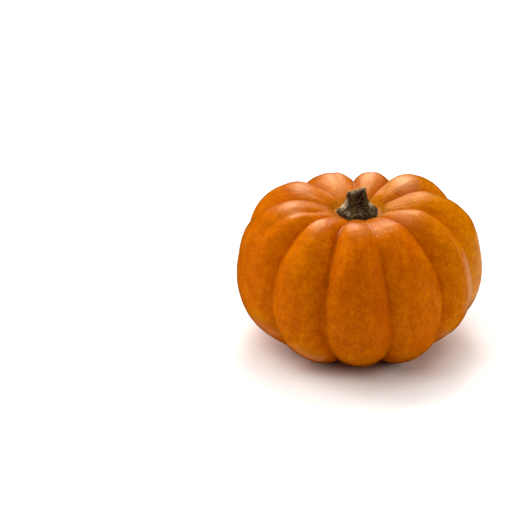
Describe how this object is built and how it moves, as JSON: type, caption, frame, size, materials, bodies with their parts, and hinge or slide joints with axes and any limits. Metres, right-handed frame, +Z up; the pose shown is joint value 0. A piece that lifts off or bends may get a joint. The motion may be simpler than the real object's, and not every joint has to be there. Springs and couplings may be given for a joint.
{
  "type": "mini pumpkin",
  "caption": "Small squat ribbed pumpkin with rounded lobes, a hollow crown and the dark cut stub of its stem.",
  "frame": {"origin": "on the surface that the pumpkin rests on, under the middle of its box", "axes": "+Z up along the stem; -Y is the side that faces the viewer in the picture; +X is to the right"},
  "size_m": [0.0842, 0.082, 0.0573],
  "materials": {
    "skin": "orange rind with a soft waxy sheen; matte_plastic stands in for it",
    "stem_cork": "dark green-brown dried stalk with pale corky patches"
  },
  "bodies": {
    "root": {"fruit": "skin", "stem": "stem_cork"}
  },
  "joints": []
}
